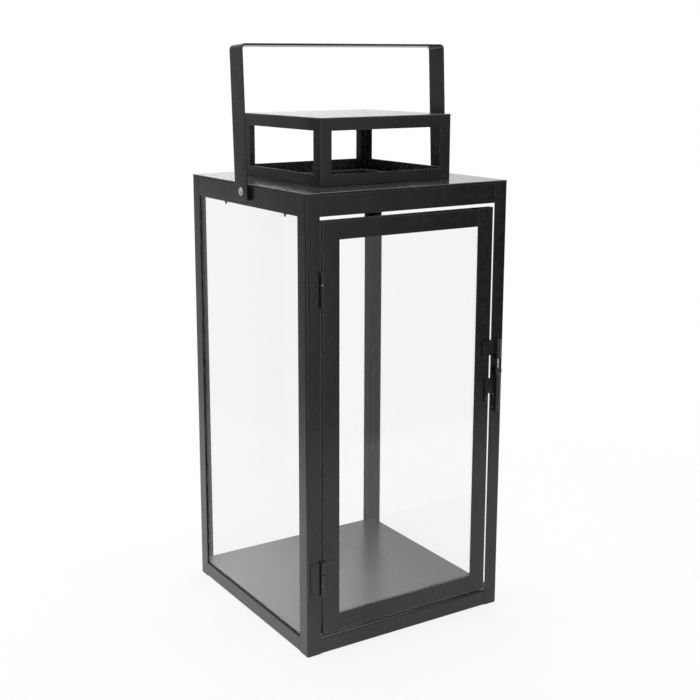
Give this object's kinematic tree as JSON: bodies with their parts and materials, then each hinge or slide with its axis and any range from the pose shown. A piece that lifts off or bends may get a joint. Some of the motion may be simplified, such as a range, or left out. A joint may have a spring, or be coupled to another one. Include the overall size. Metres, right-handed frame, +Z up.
{
  "type": "candle lantern",
  "caption": "Tall square candle lantern in black painted sheet metal with glass panes, a hinged glazed door with a sliding latch, an open vent box on the roof and a swinging strap handle.",
  "frame": {"origin": "centre of the footprint, on the ground under the base rails", "axes": "+Z up through the roof to the handle, the door faces -Y, +X is the latch side"},
  "size_m": [0.2518, 0.2466, 0.5998],
  "materials": {
    "black_paint": "semi-gloss black enamel on folded sheet steel",
    "clear_glass": "clear window glass with ground edges",
    "bare_steel": "bare zinc-plated steel"
  },
  "bodies": {
    "frame": {"front_left_post": "black_paint", "front_right_post": "black_paint", "back_left_post": "black_paint", "back_right_post": "black_paint", "front_top_rail": "black_paint", "right_top_rail": "black_paint", "back_top_rail": "black_paint", "left_top_rail": "black_paint", "front_bottom_rail": "black_paint", "right_bottom_rail": "black_paint", "back_bottom_rail": "black_paint", "left_bottom_rail": "black_paint", "base_plate": "black_paint", "roof_plate": "black_paint", "left_glass": "clear_glass", "right_glass": "clear_glass", "back_glass": "clear_glass", "left_glass_tabs": "black_paint", "right_glass_tabs": "black_paint", "back_glass_tabs": "black_paint", "vent_front_left_post": "black_paint", "vent_front_right_post": "black_paint", "vent_back_left_post": "black_paint", "vent_back_right_post": "black_paint", "vent_front_top_rail": "black_paint", "vent_right_top_rail": "black_paint", "vent_back_top_rail": "black_paint", "vent_left_top_rail": "black_paint", "vent_front_bottom_rail": "black_paint", "vent_right_bottom_rail": "black_paint", "vent_back_bottom_rail": "black_paint", "vent_left_bottom_rail": "black_paint", "vent_cap": "black_paint", "handle_rivets": "bare_steel", "handle_washers": "bare_steel", "upper_hinge_post_leaf": "black_paint", "lower_hinge_post_leaf": "black_paint", "hinge_pins": "black_paint", "bolt_guide": "black_paint", "bolt_guide_rivets": "bare_steel"},
    "door": {"door_hinge_stile": "black_paint", "door_latch_stile": "black_paint", "door_top_rail": "black_paint", "door_bottom_rail": "black_paint", "door_glass": "clear_glass", "door_glass_clips": "black_paint", "upper_hinge_door_leaf": "black_paint", "lower_hinge_door_leaf": "black_paint", "latch_keeper": "black_paint", "door_stop": "black_paint", "door_stop_rivet": "bare_steel"},
    "handle": {"handle_bail": "black_paint"},
    "bolt": {"latch_bolt": "bare_steel", "latch_knob": "black_paint"}
  },
  "joints": [
    {"name": "door_hinge", "type": "hinge", "parent": "frame", "child": "door", "pos_m": [-0.10335, -0.1222, 0.22535], "axis": [0, 0, -1], "range_deg": [0, 175]},
    {"name": "handle_swing", "type": "hinge", "parent": "frame", "child": "handle", "pos_m": [0, 0, 0.4543], "axis": [1, 0, 0], "range_deg": [-114, 92]},
    {"name": "latch_slide", "type": "slide", "parent": "frame", "child": "bolt", "axis": [0, 0, 1], "range_m": [0, 0.009]}
  ]
}
